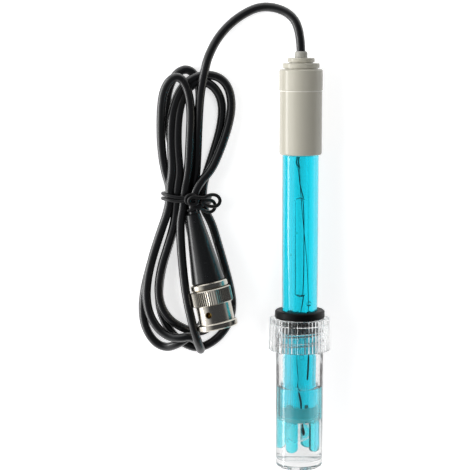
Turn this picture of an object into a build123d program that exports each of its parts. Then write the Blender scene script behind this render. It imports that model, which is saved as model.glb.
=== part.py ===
from build123d import *
from math import atan, cos, degrees, pi, radians, sin, tan
import os

# A laboratory pH electrode with its storage bottle, lying on a table with its cable hank beside it.
# Lengths are in millimetres and angles in degrees. Heights "s" run along the electrode's own axis,
# from the bottle's foot at 0 towards the cable. +Z is up from the table, +Y points from the bottle
# to the cable end, and the hank lies on the -X side.

# General clearances
running_gap = 0.05
seated_gap = 0.1
free_gap = 0.4
overrun = 1.0
bond_overlap = 0.5
edge_round = 0.4

# Storage bottle, blown in clear plastic
bottle_radius = 8.02
bottle_wall = 1.25
bottle_base = 2.6
bottle_foot_radius = 5.6
bottle_foot_depth = 0.9
bottle_shoulder_step = 0.35
bottle_shoulder_length = 1.2
bottle_body_length = 39.3

# Knurled screw cap on the bottle
cap_crest_radius = 10.55
cap_top_radius = 10.18
cap_height = 10.8
cap_roof = 1.9
cap_shoulder_gap = 1.4
cap_neck_gap = 0.3
cap_bore_radius = 8.95
cap_rib_count = 50
cap_rib_radius = 0.42
cap_rib_rise = 0.36
cap_chamfer = 0.35

# Rubber seal between the cap and the shaft
seal_flange_radius = 8.45
seal_flange_height = 2.7
seal_plug_radius = 6.65
seal_plug_length = 5.0

# Shaft with its four guard prongs, one moulding
shaft_radius = 6.1
shaft_tip_radius = 5.75
shaft_wall_bore = 4.4
shaft_tip = 5.6
grip_start = 78.0
prong_length = 10.6
prong_width = 3.6
prong_round = 1.6
prong_count = 4
prong_turn = -25.0
spigot_radius = 5.9
spigot_length = 6.5

# Head in two mouldings, and the bush that holds the cable
head_start = 107.1
sleeve_radius = 7.12
sleeve_length = 21.3
sleeve_wall = 1.3
parting_groove = 0.3
band_radius = 7.27
band_length = 7.1
step_radii = (6.15, 4.52)
step_lengths = (1.95, 1.75)
step_groove = 0.35
step_groove_depth = 0.6
cap_spigot_length = 4.0
cap_cavity_roof = 3.0
bush_radius = 2.08
bush_height = 2.2
bush_depth = 5.5
bush_neck_radius = 1.95

# Glass stem and bulb
stem_radius = 2.15
stem_wall = 0.55
bulb_radius = 3.4
bulb_wall = 0.3
bulb_bottom = 8.6
stem_top = 109.5

# Liquids
solution_level = 27.7
bubble_bottom = 59.5
bubble_top = 92.7
storage_margin = 0.25

# Seal, potting and junction at the shaft's lower end
seal_bottom = 17.2
seal_height = 3.9
junction_radius = 0.5
junction_reach = 1.2
junction_turn = 35.0

# Stopper and potting at the shaft's upper end
stopper_start = 106.6
stopper_height = 3.4
potting_height = 6.0

# Wires
inner_wire_radius = 0.2
element_radius = 0.42
element_bottom = 10.2
element_height = 2.6
reference_wire_radius = 0.16
chloride_radius = 0.3
chloride_bottom = 30.6
chloride_length = 8.2
reference_offset = 3.2
reference_turn = 48.0
lead_radius = 0.35
lead_bottom = 103.6
lead_top = 131.6
joint_radius = 0.42
joint_height = 2.2

# Cable: its thickness, and its free route from the bush to the hank
cable_radius = 1.5
cable_start = 138.5
cable_first_bend = 147.0
cable_points = (
    (-3.2, 83.9, 4.4),
    (-12.3, 86.9, 2.0),
    (-20.3, 83.3, 1.6),
    (-27.0, 77.2, 1.6),
    (-30.6, 70.2, 2.6),
    (-32.2, 62.9, 3.8),
)
bend_share = 0.45

# Hank: two flat lobes, and the neck where it is tied
hank_centre_x = -38.6
neck_width = 14.2
neck_height = 6.6
neck_round = 3.0
neck_start = 17.3
neck_length = 8.5
upper_lobe_length = 42.0
upper_lobe_width = 28.4
upper_lobe_height = 6.0
lower_lobe_length = 52.5
lower_lobe_width = 34.6
lower_lobe_height = 3.0

# Outlines of the lobes: across as shares of the lobe's width from the hank's centre line,
# and along as shares of the lobe's length away from the neck
upper_lobe_shares = (
    (0.27, 0.0),
    (0.31, 0.12),
    (0.44, 0.33),
    (0.60, 0.60),
    (0.58, 0.80),
    (0.42, 0.94),
    (0.10, 1.0),
    (-0.16, 0.97),
    (-0.34, 0.82),
    (-0.39, 0.62),
    (-0.35, 0.32),
    (-0.27, 0.0),
)
lower_lobe_shares = (
    (0.21, 0.0),
    (0.35, 0.24),
    (0.47, 0.53),
    (0.48, 0.63),
    (0.44, 0.80),
    (0.30, 0.94),
    (0.10, 1.0),
    (-0.04, 0.97),
    (-0.22, 1.0),
    (-0.38, 0.92),
    (-0.49, 0.74),
    (-0.51, 0.60),
    (-0.44, 0.36),
    (-0.30, 0.12),
    (-0.21, 0.0),
)

# Tie: a thin cord, twice round the neck, with its knot and two bights
tie_radius = 0.55
tie_place = 20.4
tie_turns = 2
tie_gap = 0.1
knot_radius = 1.2
knot_height = 2.6
bight_radii = (1.6, 2.3)
bight_spread = 2.0
bight_lift = 0.2

# Connector: where its boot begins on the hank, how it points, and its turned sizes
plug_rear = (-36.2, 16.2, 7.2)
plug_heading = 12.6
plug_rise = 6.5
boot_length = 23.8
boot_rear_radius = 2.6
boot_front_radius = 5.65
boot_recess = 3.0
ferrule_radius = 3.1
ferrule_bore = 1.75
ferrule_length = 9.0
flange_radius = 6.35
flange_length = 2.3
knurl_radius = 7.0
knurl_length = 5.3
knurl_count = 60
knurl_depth = 0.22
barrel_radius = 6.05
barrel_length = 6.1
rim_radius = 6.85
rim_length = 2.3
nut_bore = 5.0
nut_back_bore = 4.1
nut_back_wall = 1.4
body_neck_radius = 4.05
body_barrel_radius = 4.75
body_barrel_length = 5.2
contact_radius = 4.05
contact_bore = 3.6
contact_length = 7.6
contact_slot_width = 0.4
contact_slot_count = 4
contact_slot_share = 2 / 3
insulator_radius = 2.4
insulator_reach_share = 2 / 3
pin_radius = 0.65
pin_flange_radius = 1.1
washer_thickness = 0.35
gasket_thickness = 0.6
bayonet_hole_radius = 1.1
bayonet_turn = 78.0
bayonet_ramp_steps = 6
bayonet_ramp_depth = 0.5
bayonet_face_turn = 20.0

# Places along the axis that follow from those sizes
cap_start = bottle_body_length + cap_shoulder_gap
cap_end = cap_start + cap_height
bottle_neck_length = cap_height - cap_roof + cap_shoulder_gap - cap_neck_gap
seal_end = cap_end + seal_flange_height
sleeve_end = head_start + sleeve_length
band_end = sleeve_end + band_length
steps_end = band_end + sum(step_lengths)
bush_end = steps_end + bush_height
shoulder = shaft_tip + prong_length
seal_top = seal_bottom + seal_height
bulb_centre = bulb_bottom + bulb_radius
bottle_bore = bottle_radius - bottle_wall
shaft_top = head_start + spigot_length
stopper_top = stopper_start + stopper_height

# The electrode lies on the cap's lower rim and on the head's upper rim, so its axis leans by this angle
rear_rest = cap_start + cap_chamfer
front_rest = band_end - edge_round
lean = degrees(atan((cap_crest_radius - band_radius) / (front_rest - rear_rest)))
lean_cos = cos(radians(lean))
lean_sin = sin(radians(lean))
axis_height = cap_crest_radius * lean_cos + rear_rest * lean_sin
axis_back = -(bush_end * lean_cos + (bush_radius + edge_round - bottle_radius) * lean_sin) / 2
lying = Location(Plane(origin=(0, axis_back, axis_height), x_dir=(1, 0, 0), z_dir=(0, lean_cos, -lean_sin)))


def shaft_radius_at(s):
    """The shaft's outer radius: a true cylinder where it is gripped, then a moulding taper to the tip."""
    share = min(1, max(0, (s - shaft_tip) / (grip_start - shaft_tip)))
    return shaft_tip_radius + (shaft_radius - shaft_tip_radius) * share


def turned(*outline):
    """A solid of revolution about Z from (radius, height) corners."""
    corners = [(radius, 0, height) for radius, height in outline]
    return revolve(make_face(Polyline(*corners, close=True)), Axis.Z)


def rod(radius, low, high, x=0, y=0):
    """A round bar parallel to the axis."""
    bar = Cylinder(radius, high - low, align=(Align.CENTER, Align.CENTER, Align.MIN))
    return Pos(x, y, low) * bar


def tube(outer, inner, low, high):
    """A plain tube about the axis."""
    return turned((inner, low), (outer, low), (outer, high), (inner, high))


def facing(turn):
    """The angle about Z of a direction turned from straight up, towards +X, once the part lies down."""
    return turn - 90


def save(name, shape, place=lying):
    """Write one piece, moved to its place on the table."""
    moved = place * shape
    moved.label = name
    export_step(moved, f"parts/{name}.step")
    print(name, "solids", len(moved.solids()), "volume", round(moved.volume, 2))
    return moved


# Shaft: bored from end to end, tapered outside, its lower end cut into four prongs
def body_tube():
    shell = turned(
        (shaft_wall_bore, shaft_tip),
        (shaft_tip_radius, shaft_tip),
        (shaft_radius, grip_start),
        (shaft_radius, head_start),
        (spigot_radius, head_start),
        (spigot_radius, shaft_top),
        (shaft_wall_bore, shaft_top),
    )
    gaps = rod(shaft_radius + overrun, shaft_tip - overrun, shoulder)
    for index in range(prong_count):
        turn = facing(prong_turn + index * 360 / prong_count)
        blade = Box(
            shaft_radius + 2 * overrun,
            prong_width,
            prong_length + overrun,
            align=(Align.MIN, Align.CENTER, Align.MIN),
        )
        tips = blade.edges().filter_by(Axis.X).group_by(Axis.Z)[0]
        gaps -= Rot(0, 0, turn) * (Pos(0, 0, shaft_tip) * fillet(tips, prong_round))
    return shell - gaps


# Glass: a stem with a thin bulb blown on its lower end
def glass_shape(radius, ball_radius, top):
    """The outer form of the stem and bulb at a given pair of radii."""
    stem = rod(radius, bulb_centre, top)
    return stem + Pos(0, 0, bulb_centre) * Sphere(ball_radius)


def glass_stem():
    outer = glass_shape(stem_radius, bulb_radius, stem_top)
    inner = glass_shape(stem_radius - stem_wall, bulb_radius - bulb_wall, stem_top + overrun)
    return outer - inner


def inner_wire():
    wire = rod(inner_wire_radius, element_bottom + element_height, lead_bottom)
    return wire + rod(element_radius, element_bottom, element_bottom + element_height)


def inner_solution():
    """The filling of bulb and stem, in two lengths with an air bubble between them."""
    bore = glass_shape(stem_radius - stem_wall, bulb_radius - bulb_wall, stopper_start)
    bubble = rod(stem_radius, bubble_bottom, bubble_top)
    return bore - bubble - inner_wire() - core_joint() - core_lead()


reference_x = reference_offset * cos(radians(facing(reference_turn)))
reference_y = reference_offset * sin(radians(facing(reference_turn)))


def reference_wire():
    """Silver wire down one side, with a thicker length of silver chloride at its end."""
    chloride_top = chloride_bottom + chloride_length
    coated = rod(chloride_radius, chloride_bottom, chloride_top, reference_x, reference_y)
    return coated + rod(reference_wire_radius, chloride_top, lead_bottom, reference_x, reference_y)


def core_joint():
    return rod(joint_radius, lead_bottom - joint_height, lead_bottom)


def screen_joint():
    return rod(joint_radius, lead_bottom - joint_height, lead_bottom, reference_x, reference_y)


def reference_gel():
    """The gel between stem and shaft, from the lower seal to the stopper."""
    ring = tube(shaft_wall_bore, stem_radius, seal_top, stopper_start)
    return ring - reference_wire() - screen_joint() - screen_lead() - junction_wick()


def lower_seal():
    return tube(shaft_wall_bore, stem_radius, seal_bottom, seal_top) - junction_wick()


def lower_potting():
    return tube(shaft_wall_bore, stem_radius, shoulder, seal_bottom) - junction_wick()


def junction_wick():
    x = reference_offset * cos(radians(facing(junction_turn)))
    y = reference_offset * sin(radians(facing(junction_turn)))
    return rod(junction_radius, shoulder, seal_top + junction_reach, x, y)


def core_lead():
    return rod(lead_radius, lead_bottom, lead_top)


def screen_lead():
    return rod(lead_radius, lead_bottom, lead_top, reference_x, reference_y)


def upper_stopper():
    """A rubber stopper that closes stem and shaft round the two leads."""
    annulus = tube(shaft_wall_bore, stem_radius, stopper_start, stopper_top)
    crown = rod(stem_radius - stem_wall, stopper_start, stopper_top)
    lid = rod(stem_radius, stem_top, stopper_top)
    return annulus + crown + lid - core_lead() - screen_lead()


def head_potting():
    block = rod(shaft_wall_bore, stopper_top, stopper_top + potting_height)
    return block - core_lead() - screen_lead()


# Head sleeve: slides over the shaft's top, with a seat for the stepped end piece
def head_sleeve():
    seat = sleeve_radius - sleeve_wall
    return turned(
        (spigot_radius, head_start),
        (sleeve_radius - edge_round / 2, head_start),
        (sleeve_radius, head_start + edge_round),
        (sleeve_radius, sleeve_end - parting_groove),
        (seat, sleeve_end - parting_groove),
        (seat, shaft_top),
        (spigot_radius, shaft_top),
    )


def head_cap():
    """The wide band and the two smaller steps that end the head, bored for bush and leads."""
    spigot = sleeve_radius - sleeve_wall - running_gap
    step_start = band_end
    outline = [
        (bush_neck_radius, sleeve_end - cap_spigot_length),
        (spigot, sleeve_end - cap_spigot_length),
        (spigot, sleeve_end),
        (band_radius - edge_round / 2, sleeve_end),
        (band_radius, sleeve_end + edge_round / 2),
        (band_radius, band_end - edge_round),
        (band_radius - edge_round, band_end),
    ]
    for radius, length in zip(step_radii, step_lengths):
        outline += [
            (radius - step_groove_depth, step_start),
            (radius - step_groove_depth, step_start + step_groove),
            (radius, step_start + step_groove),
            (radius, step_start + length - edge_round / 2),
            (radius - edge_round / 2, step_start + length),
        ]
        step_start += length
    outline.append((bush_neck_radius, steps_end))
    cavity = rod(spigot - sleeve_wall, sleeve_end - cap_spigot_length - overrun, band_end - cap_cavity_roof)
    return turned(*outline) - cavity


def cable_bush():
    """The pale collar at the cable's exit, with its neck inside the head."""
    grip = cable_radius + running_gap
    return turned(
        (grip, steps_end - bush_depth),
        (bush_neck_radius, steps_end - bush_depth),
        (bush_neck_radius, steps_end),
        (bush_radius, steps_end),
        (bush_radius, bush_end - edge_round),
        (bush_radius - edge_round, bush_end),
        (grip, bush_end),
    )


# Storage bottle: a foot ring, a straight body, and a slightly narrower neck inside the cap
def storage_bottle():
    neck_radius = bottle_radius - bottle_shoulder_step
    body_end = bottle_body_length
    neck_end = body_end + bottle_neck_length
    return turned(
        (0, bottle_foot_depth),
        (bottle_foot_radius - edge_round, bottle_foot_depth),
        (bottle_foot_radius, 0),
        (bottle_radius - 2 * edge_round, 0),
        (bottle_radius, 2 * edge_round),
        (bottle_radius, body_end),
        (neck_radius, body_end + bottle_shoulder_length),
        (neck_radius, neck_end),
        (bottle_bore, neck_end),
        (bottle_bore, bottle_base + edge_round),
        (bottle_bore - edge_round, bottle_base),
        (0, bottle_base),
    )


def ribbed_section(crest, height):
    """One slice of the knurled cap: a ring of round ribs, with one rib pointing straight down."""
    ribs = [
        loc * Circle(cap_rib_radius)
        for loc in PolarLocations(crest - cap_rib_radius, cap_rib_count, start_angle=90)
    ]
    return Pos(0, 0, height) * (Circle(crest - cap_rib_rise) + ribs)


def bottle_cap():
    grown = ribbed_section(cap_crest_radius, cap_start)
    ratio = cap_top_radius / cap_crest_radius
    shrunk = Pos(0, 0, cap_end) * scale(ribbed_section(cap_crest_radius, 0), by=ratio)
    solid = loft([grown.face(), shrunk.face()], ruled=True)
    envelope = turned(
        (0, cap_start),
        (cap_crest_radius - cap_chamfer, cap_start),
        (cap_crest_radius, cap_start + cap_chamfer),
        (cap_top_radius + running_gap, cap_end - cap_chamfer),
        (cap_top_radius - cap_chamfer, cap_end),
        (0, cap_end),
    )
    hollow = turned(
        (0, cap_start - overrun),
        (cap_bore_radius, cap_start - overrun),
        (cap_bore_radius, cap_end - cap_roof),
        (seal_plug_radius + seated_gap, cap_end - cap_roof),
        (seal_plug_radius + seated_gap, cap_end + overrun),
        (0, cap_end + overrun),
    )
    return (solid & envelope) - hollow


def bottle_seal():
    """A flanged rubber plug: its flange sits on the cap, and its bore rides on the shaft."""
    plug_end = cap_end - seal_plug_length
    grip_low = shaft_radius_at(plug_end) + running_gap
    grip_high = shaft_radius_at(seal_end) + running_gap
    return turned(
        (grip_low, plug_end),
        (seal_plug_radius - edge_round, plug_end),
        (seal_plug_radius, plug_end + edge_round),
        (seal_plug_radius, cap_end + running_gap),
        (seal_flange_radius - edge_round / 2, cap_end + running_gap),
        (seal_flange_radius, cap_end + edge_round),
        (seal_flange_radius, seal_end - edge_round),
        (seal_flange_radius - edge_round, seal_end),
        (grip_high, seal_end),
    )


def storage_solution():
    """The liquid in the bottle, leaving free the space that the electrode sweeps when it is drawn out."""
    pool = rod(bottle_bore - running_gap, bottle_base + running_gap, solution_level)
    foot_round = turned(
        (bottle_bore - edge_round - running_gap, bottle_base),
        (bottle_bore, bottle_base),
        (bottle_bore, bottle_base + edge_round + running_gap),
    )
    clear = shaft_radius_at(solution_level) + storage_margin
    shaft_way = rod(clear, shoulder - storage_margin, solution_level + overrun)
    bulb_way = rod(bulb_radius + storage_margin, bulb_centre, shoulder)
    ball = Pos(0, 0, bulb_centre) * Sphere(bulb_radius + storage_margin)
    ring = tube(clear, shaft_wall_bore - storage_margin, shaft_tip - storage_margin, shoulder)
    prongs = Part()
    for index in range(prong_count):
        turn = facing(prong_turn + index * 360 / prong_count)
        blade = Box(
            clear + overrun,
            prong_width + 2 * storage_margin,
            prong_length + storage_margin,
            align=(Align.MIN, Align.CENTER, Align.MIN),
        )
        prongs += Rot(0, 0, turn) * (Pos(0, 0, shaft_tip - storage_margin) * blade)
    return pool - foot_round - shaft_way - bulb_way - ball - (ring & prongs)


# Cable: straight runs joined by tangent arcs
def axis_point(s):
    """A point on the electrode's axis, on the table's axes."""
    return (0, axis_back + s * lean_cos, axis_height - s * lean_sin)


def cable_lead():
    route = [Vector(*axis_point(cable_start)), Vector(*axis_point(cable_first_bend))]
    route += [Vector(*point) for point in cable_points]
    radii = []
    for before, here, after in zip(route, route[1:], route[2:]):
        turn = (here - before).get_angle(after - here)
        shorter = min((here - before).length, (after - here).length)
        radii.append(bend_share * shorter / tan(radians(turn) / 2))
    print("cable radii", [round(radius, 1) for radius in radii])
    print("cable runs", [round((b - a).length, 1) for a, b in zip(route, route[1:])])
    path = FilletPolyline(*route, radius=radii)
    start = Plane(origin=path @ 0, z_dir=path % 0)
    lead = sweep(start * Circle(cable_radius), path=path)
    section = pi * cable_radius**2
    print("cable length", round(path.length, 1), "volume share", round(lead.volume / (section * path.length), 4))
    return lead


# Hank: the outer shape of the tied turns
def lobe(shares, width, length, height, start, way):
    """A flat lobe with a smooth outline, from the neck outwards."""
    points = [(hank_centre_x + across * width, start + way * along * length) for across, along in shares]
    edge = Spline(*points) + Line(points[-1], points[0])
    return extrude(make_face(edge), amount=height)


def cable_hank():
    neck_end = neck_start + neck_length
    raised = 2 * (tie_radius + tie_gap)
    neck = Pos(hank_centre_x, neck_start + neck_length / 2, raised + neck_height / 2) * Box(
        neck_width, neck_length, neck_height
    )
    neck = fillet(neck.edges().filter_by(Axis.Y), neck_round)
    upper = lobe(
        upper_lobe_shares, upper_lobe_width, upper_lobe_length, upper_lobe_height, neck_end - bond_overlap, 1
    )
    lower = lobe(
        lower_lobe_shares, lower_lobe_width, lower_lobe_length, lower_lobe_height, neck_start + bond_overlap, -1
    )
    return neck + upper + lower


def cable_tie():
    """Two turns of thin cord round the neck, as one band, with a knot at their right and two bights."""
    thickness = 2 * tie_radius
    width = tie_turns * thickness
    span = neck_width + 2 * tie_gap
    rise = neck_height + 2 * tie_gap
    corner = neck_round + tie_gap
    centre_z = 2 * (tie_radius + tie_gap) + neck_height / 2
    back = Plane(
        origin=(hank_centre_x, tie_place - width / 2, centre_z), x_dir=(1, 0, 0), z_dir=(0, 1, 0)
    )
    outer = RectangleRounded(span + 2 * thickness, rise + 2 * thickness, corner + thickness)
    tie = extrude(back * (outer - RectangleRounded(span, rise, corner)), amount=width)
    knot_x = hank_centre_x + span / 2 + tie_radius
    top = centre_z + rise / 2 + tie_radius
    knot = rod(knot_radius, top - knot_height, top + tie_radius, knot_x - tie_radius, tie_place)
    tie += knot
    for side, radius in zip((1, -1), bight_radii):
        ring = Circle(radius + tie_radius) - Circle(radius - tie_radius)
        height = top + side * bight_lift - tie_radius
        place = Pos(knot_x + radius - knot_radius / 2, tie_place + side * bight_spread / 2, height)
        tie += place * extrude(ring, amount=thickness)
    hole = Pos(hank_centre_x, tie_place, centre_z) * Rot(90, 0, 0) * RectangleRounded(span, rise, corner)
    return tie - extrude(hole, amount=2 * knot_radius, both=True)


# Connector: built along its own axis from the boot's rear end, then laid on the hank
heading = (
    sin(radians(plug_heading)) * cos(radians(plug_rise)),
    -cos(radians(plug_heading)) * cos(radians(plug_rise)),
    sin(radians(plug_rise)),
)
across = (cos(radians(plug_heading)), sin(radians(plug_heading)), 0)
plugged = Location(Plane(origin=plug_rear, x_dir=across, z_dir=heading))

body_start = boot_length - boot_recess
nut_start = boot_length + flange_length
knurl_end = nut_start + knurl_length
barrel_end = knurl_end + barrel_length
nut_end = barrel_end + rim_length


def connector_boot():
    """A smooth tapering boot over the ferrule, open at the cable and at the body."""
    pocket = ferrule_radius + running_gap
    return turned(
        (cable_radius + running_gap, 0),
        (boot_rear_radius - edge_round, 0),
        (boot_rear_radius, edge_round),
        (boot_front_radius, boot_length - edge_round),
        (boot_front_radius - edge_round, boot_length),
        (body_neck_radius + running_gap, boot_length),
        (body_neck_radius + running_gap, body_start),
        (pocket, body_start),
        (pocket, body_start - ferrule_length),
        (cable_radius + running_gap, body_start - ferrule_length),
    )


def crimp_ferrule():
    return tube(ferrule_radius, ferrule_bore, body_start - ferrule_length, body_start)


def connector_body():
    """The turned body: a neck in the boot, the rear flange, a shaft for the nut, and the front barrel."""
    shaft_end = nut_start + nut_back_wall + 2 * seated_gap + washer_thickness
    barrel_stop = shaft_end + body_barrel_length
    return turned(
        (pin_flange_radius + free_gap, body_start),
        (body_neck_radius, body_start),
        (body_neck_radius, boot_length + running_gap),
        (flange_radius - edge_round, boot_length + running_gap),
        (flange_radius, boot_length + edge_round),
        (flange_radius, nut_start - edge_round - seated_gap),
        (flange_radius - edge_round, nut_start - seated_gap),
        (body_neck_radius, nut_start - seated_gap),
        (body_neck_radius, shaft_end),
        (body_barrel_radius, shaft_end),
        (body_barrel_radius, barrel_stop),
        (contact_radius, barrel_stop),
        (contact_radius, shaft_end),
        (insulator_radius, shaft_end),
        (insulator_radius, nut_start),
        (pin_flange_radius + free_gap, nut_start),
    )


def coupling_nut():
    """The bayonet nut: knurled grip, barrel with two locking holes and ramps inside, and front rim."""
    step = 360 / knurl_count
    teeth = []
    for index in range(knurl_count):
        for part_share, radius in ((0, knurl_radius), (0.5, knurl_radius - knurl_depth)):
            angle = radians((index + part_share) * step)
            teeth.append((radius * cos(angle), radius * sin(angle)))
    grip = extrude(make_face(Pos(0, 0, nut_start) * Polyline(*teeth, close=True)), amount=knurl_length)
    envelope = turned(
        (0, nut_start),
        (knurl_radius - edge_round, nut_start),
        (knurl_radius, nut_start + edge_round),
        (knurl_radius, knurl_end - edge_round),
        (knurl_radius - edge_round, knurl_end),
        (0, knurl_end),
    )
    front = turned(
        (0, knurl_end - bond_overlap),
        (barrel_radius, knurl_end - bond_overlap),
        (barrel_radius, barrel_end),
        (rim_radius - edge_round, barrel_end),
        (rim_radius, barrel_end + edge_round),
        (rim_radius, nut_end - edge_round),
        (rim_radius - edge_round, nut_end),
        (0, nut_end),
    )
    hollow = turned(
        (0, nut_start - overrun),
        (nut_back_bore + running_gap, nut_start - overrun),
        (nut_back_bore + running_gap, nut_start + nut_back_wall),
        (nut_bore, nut_start + nut_back_wall),
        (nut_bore, nut_end + overrun),
        (0, nut_end + overrun),
    )
    nut = (grip & envelope) + front - hollow
    hole_height = knurl_end + barrel_length / 2
    inside = nut_bore - free_gap
    groove_length = free_gap + bayonet_ramp_depth
    for side in range(2):
        face_turn = bayonet_face_turn + side * 180
        hole = Rot(0, 90, 0) * rod(bayonet_hole_radius, inside, barrel_radius + overrun)
        hole = Pos(0, 0, hole_height) * hole
        nut -= Rot(0, 0, facing(face_turn)) * hole
        for index in range(1, bayonet_ramp_steps + 1):
            share = index / bayonet_ramp_steps
            height = hole_height + share * (nut_end - hole_height)
            groove = Pos(inside, 0, height) * Box(
                groove_length,
                2 * bayonet_hole_radius,
                2 * bayonet_hole_radius,
                align=(Align.MIN, Align.CENTER, Align.CENTER),
            )
            nut -= Rot(0, 0, facing(face_turn + share * bayonet_turn)) * groove
    return nut


contact_start = nut_start + nut_back_wall + 2 * seated_gap + washer_thickness + gasket_thickness


def outer_contact():
    """The slotted sleeve inside the barrel."""
    sleeve = tube(contact_radius, contact_bore, contact_start, contact_start + contact_length)
    for index in range(contact_slot_count):
        slot = Box(
            contact_radius + overrun,
            contact_slot_width,
            contact_length,
            align=(Align.MIN, Align.CENTER, Align.MIN),
        )
        lift = contact_start + contact_length * (1 - contact_slot_share)
        sleeve -= Rot(0, 0, index * 360 / contact_slot_count) * (Pos(0, 0, lift) * slot)
    return sleeve


def insulator():
    front = contact_start + contact_length * insulator_reach_share
    return tube(insulator_radius, pin_radius, nut_start, front)


def centre_pin():
    """The centre contact: soldered tail, flange behind the insulator, and rounded pin."""
    pin_end = contact_start + contact_length
    pin = turned(
        (0, body_start - pin_flange_radius),
        (pin_flange_radius, body_start - pin_flange_radius),
        (pin_flange_radius, nut_start),
        (pin_radius, nut_start),
        (pin_radius, pin_end - pin_radius / 2),
        (pin_radius / 2, pin_end),
        (0, pin_end),
    )
    return pin


def wave_washer():
    low = nut_start + nut_back_wall + seated_gap
    return tube(nut_bore - free_gap, body_neck_radius, low, low + washer_thickness)


def front_gasket():
    low = contact_start - gasket_thickness
    return tube(contact_radius, insulator_radius + running_gap, low, low + gasket_thickness)


save("body_tube", body_tube())
save("glass_stem", glass_stem())
save("inner_wire", inner_wire())
save("core_solder_joint", core_joint() - inner_wire())
save("inner_solution", inner_solution())
save("reference_wire", reference_wire())
save("screen_solder_joint", screen_joint() - reference_wire())
save("reference_gel", reference_gel())
save("lower_seal", lower_seal())
save("lower_potting", lower_potting())
save("junction_wick", junction_wick())
save("core_lead", core_lead())
save("screen_lead", screen_lead())
save("upper_stopper", upper_stopper())
save("head_potting", head_potting())
save("head_sleeve", head_sleeve())
save("head_cap", head_cap())
save("cable_bush", cable_bush())
save("storage_bottle", storage_bottle())
save("bottle_cap", bottle_cap())
save("bottle_seal", bottle_seal())
save("storage_solution", storage_solution())
table = Location((0, 0, 0))
save("cable_lead", cable_lead(), table)
save("cable_hank", cable_hank(), table)
save("cable_tie", cable_tie(), table)
save("connector_boot", connector_boot(), plugged)
save("crimp_ferrule", crimp_ferrule(), plugged)
save("connector_body", connector_body(), plugged)
save("coupling_nut", coupling_nut(), plugged)
save("outer_contact", outer_contact(), plugged)
save("contact_insulator", insulator(), plugged)
save("centre_pin", centre_pin(), plugged)
save("wave_washer", wave_washer(), plugged)
save("front_gasket", front_gasket(), plugged)
print("lean", round(lean, 3), "axis back", round(axis_back, 3), "axis height", round(axis_height, 3))
print("cable whole route starts at", [round(v, 2) for v in axis_point(cable_start)])
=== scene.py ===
# %% [markdown]
# # A laboratory pH electrode
# The electrode lies on a table with its storage bottle on and its cable tied in a hank beside it. This
# notebook dresses an engineering model of it: the solids come in as a fixed frame, and each step adds a
# finish or replaces a plain solid with a piece that looks like the real one. Lengths on the object are
# written in millimetres and turned to metres. The floor and the lamps are given in metres.

# %% Load the frame
from math import atan, cos, pi, radians, sin

import bpy
from mathutils import Matrix, Vector


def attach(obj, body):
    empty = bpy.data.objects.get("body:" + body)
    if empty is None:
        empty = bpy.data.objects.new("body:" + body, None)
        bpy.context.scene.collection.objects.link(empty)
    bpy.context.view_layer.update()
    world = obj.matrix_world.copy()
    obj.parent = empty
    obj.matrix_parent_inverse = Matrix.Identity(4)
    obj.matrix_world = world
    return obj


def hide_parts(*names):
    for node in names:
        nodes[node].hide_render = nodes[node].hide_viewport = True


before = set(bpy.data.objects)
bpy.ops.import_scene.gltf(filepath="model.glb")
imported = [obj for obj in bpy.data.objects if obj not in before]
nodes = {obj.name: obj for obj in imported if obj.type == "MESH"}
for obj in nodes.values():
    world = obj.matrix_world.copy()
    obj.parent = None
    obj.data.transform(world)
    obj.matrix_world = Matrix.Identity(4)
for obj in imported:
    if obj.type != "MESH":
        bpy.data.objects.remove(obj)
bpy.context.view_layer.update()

MM = 0.001
bpy.ops.object.select_all(action="DESELECT")

# %% [markdown]
# ## The camera
# The photograph was taken from above with a long lens, looking down and a little towards the bottle: the
# bottle's floor shows through its side, while the head is seen almost square on. The camera is placed
# first, because the cable's loose turns are laid to look right from there.

# %% Camera
CAMERA_PLACE = (-22.0 * MM, 94.7 * MM, 521.7 * MM)
CAMERA_TILT = -9.4743
LENS = 117.88
SENSOR = 36
NEAREST_SEEN = 0.01
camera_data = bpy.data.cameras.new("overhead_camera")
camera_data.sensor_width = SENSOR
camera_data.lens = LENS
camera_data.clip_start = NEAREST_SEEN
camera = bpy.data.objects.new("overhead_camera", camera_data)
camera.location = CAMERA_PLACE
camera.rotation_euler = (radians(CAMERA_TILT), 0, 0)
bpy.context.scene.collection.objects.link(camera)
bpy.context.scene.camera = camera
print("camera", tuple(round(v, 4) for v in camera.location), "lens", camera_data.lens)

# %% [markdown]
# ## The cable and its hank
# About a metre of soft PVC cable leaves the head in one big bow, and the rest is folded in a figure of
# eight and tied at its waist. It is one cable, so it is one curve: a NURBS line whose control points are
# the places where a hand would bend it. Runs that cross are given different heights, so that they lie on
# each other and not inside.

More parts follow.
